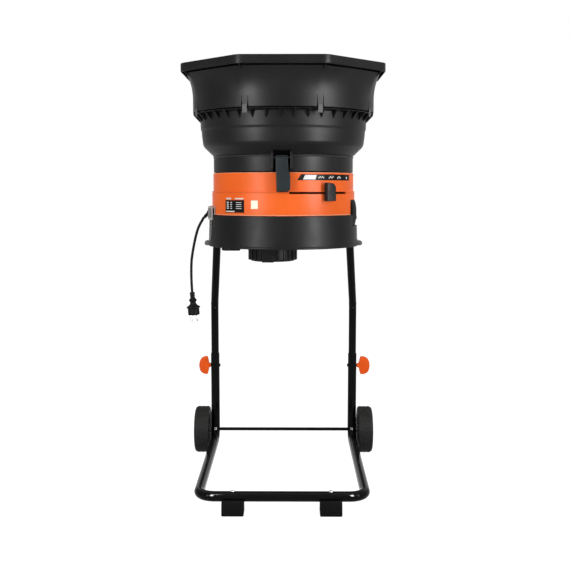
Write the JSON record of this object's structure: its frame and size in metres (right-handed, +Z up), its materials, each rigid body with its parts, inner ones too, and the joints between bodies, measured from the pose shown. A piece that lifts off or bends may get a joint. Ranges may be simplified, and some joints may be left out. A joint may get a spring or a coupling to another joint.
{
  "type": "leaf shredder",
  "caption": "Upright electric leaf shredder: octagonal hopper latched on a line-head drum with a grading ring, on a wheeled tube frame with a short plugged lead.",
  "frame": {"origin": "on the floor, under the middle of the box round the machine without its lead and plug", "axes": "+Z up; the machine faces -Y with its latch, slit and feet; +X is the side of the switch"},
  "size_m": [0.5479, 0.7186, 1.1158],
  "materials": {
    "black_plastic": "fine moulded grain",
    "orange_plastic": "smooth moulded orange",
    "grey_plastic": "light grey moulding",
    "black_paint": "gloss black paint on steel tube",
    "zinc": "zinc plated",
    "steel": "machined",
    "copper": "varnished copper windings",
    "carbon": "pressed carbon",
    "rubber": "matt black",
    "tyre": "matt black",
    "nylon": "extruded nylon line",
    "nickel": "nickel plated"
  },
  "bodies": {
    "stand_and_drum": {"lower_frame": "black_paint", "upper_leg_left": "black_paint", "upper_leg_right": "black_paint", "leg_bolt_left": "black_paint", "leg_bolt_right": "black_paint", "axle_rod": "black_paint", "axle_cap_left": "zinc", "axle_cap_right": "zinc", "axle_washer_left": "zinc", "axle_washer_right": "zinc", "foot_left": "rubber", "foot_right": "rubber", "foot_screw_left": "zinc", "foot_screw_right": "zinc", "leg_socket_left": "black_plastic", "leg_socket_right": "black_plastic", "skirt": "black_plastic", "lower_housing": "orange_plastic", "upper_ring": "orange_plastic", "motor_deck": "black_plastic", "motor_can": "black_plastic", "motor_cap": "black_plastic", "stator": "steel", "bearing_upper": "steel", "bearing_lower": "steel", "brush_left": "carbon", "brush_right": "carbon", "terminal_box": "black_plastic", "capacitor": "grey_plastic", "cable_gland": "black_plastic", "inlet_cover": "grey_plastic", "switch_box": "black_plastic", "interlock_switch": "black_plastic", "hopper_base": "black_plastic", "hopper_top": "black_plastic", "cord": "rubber", "plug": "rubber", "plug_pin_left": "nickel", "plug_pin_right": "nickel"},
    "wheel_left": {"wheel_hub_left": "black_plastic", "tyre_left": "tyre"},
    "wheel_right": {"wheel_hub_right": "black_plastic", "tyre_right": "tyre"},
    "knob_left": {"wing_knob_left": "orange_plastic"},
    "knob_right": {"wing_knob_right": "orange_plastic"},
    "rotor": {"rotor_shaft": "steel", "armature": "copper", "commutator": "copper", "cooling_fan": "grey_plastic", "cutting_head": "black_plastic", "cutting_line_1": "nylon", "cutting_line_2": "nylon", "cutting_line_3": "nylon", "head_nut": "zinc"},
    "grading": {"selector_ring": "black_plastic", "selector_knob": "black_plastic"},
    "latch_lever_front": {"latch_front": "black_plastic"},
    "latch_lever_back": {"latch_back": "black_plastic"},
    "rocker": {"switch_rocker": "black_plastic"},
    "reset": {"reset_button": "grey_plastic"}
  },
  "joints": [
    {"name": "wheel_left_spin", "type": "hinge", "parent": "stand_and_drum", "child": "wheel_left", "pos_m": [-0.2405, 0.18525, 0.0683], "axis": [1, 0, 0], "continuous": true},
    {"name": "wheel_right_spin", "type": "hinge", "parent": "stand_and_drum", "child": "wheel_right", "pos_m": [0.2405, 0.18525, 0.0683], "axis": [1, 0, 0], "continuous": true},
    {"name": "knob_left_turn", "type": "hinge", "parent": "stand_and_drum", "child": "knob_left", "pos_m": [-0.235, 0.18685, 0.2626], "axis": [1, 0, 0], "continuous": true},
    {"name": "knob_right_turn", "type": "hinge", "parent": "stand_and_drum", "child": "knob_right", "pos_m": [0.235, 0.18685, 0.2626], "axis": [1, 0, 0], "continuous": true},
    {"name": "rotor_spin", "type": "hinge", "parent": "stand_and_drum", "child": "rotor", "pos_m": [-0.03, 0.08685, 0.7], "axis": [0, 0, 1], "continuous": true},
    {"name": "grading_turn", "type": "hinge", "parent": "stand_and_drum", "child": "grading", "pos_m": [0, 0.08685, 0.7728], "axis": [0, 0, 1], "range_deg": [-27, 19]},
    {"name": "latch_front_open", "type": "hinge", "parent": "stand_and_drum", "child": "latch_lever_front", "pos_m": [-0.0025, -0.11665, 0.865], "axis": [-1, 0, 0], "range_deg": [0, 100]},
    {"name": "latch_back_open", "type": "hinge", "parent": "stand_and_drum", "child": "latch_lever_back", "pos_m": [0.0025, 0.29035, 0.865], "axis": [1, 0, 0], "range_deg": [0, 100]},
    {"name": "switch_rock", "type": "hinge", "parent": "stand_and_drum", "child": "rocker", "pos_m": [0.2015, 0.08685, 0.717], "axis": [0, 1, 0], "range_deg": [0, 12]},
    {"name": "reset_press", "type": "slide", "parent": "stand_and_drum", "child": "reset", "axis": [-1, 0, 0], "range_m": [0, 0.002], "stiffness_N_per_m": 150}
  ]
}
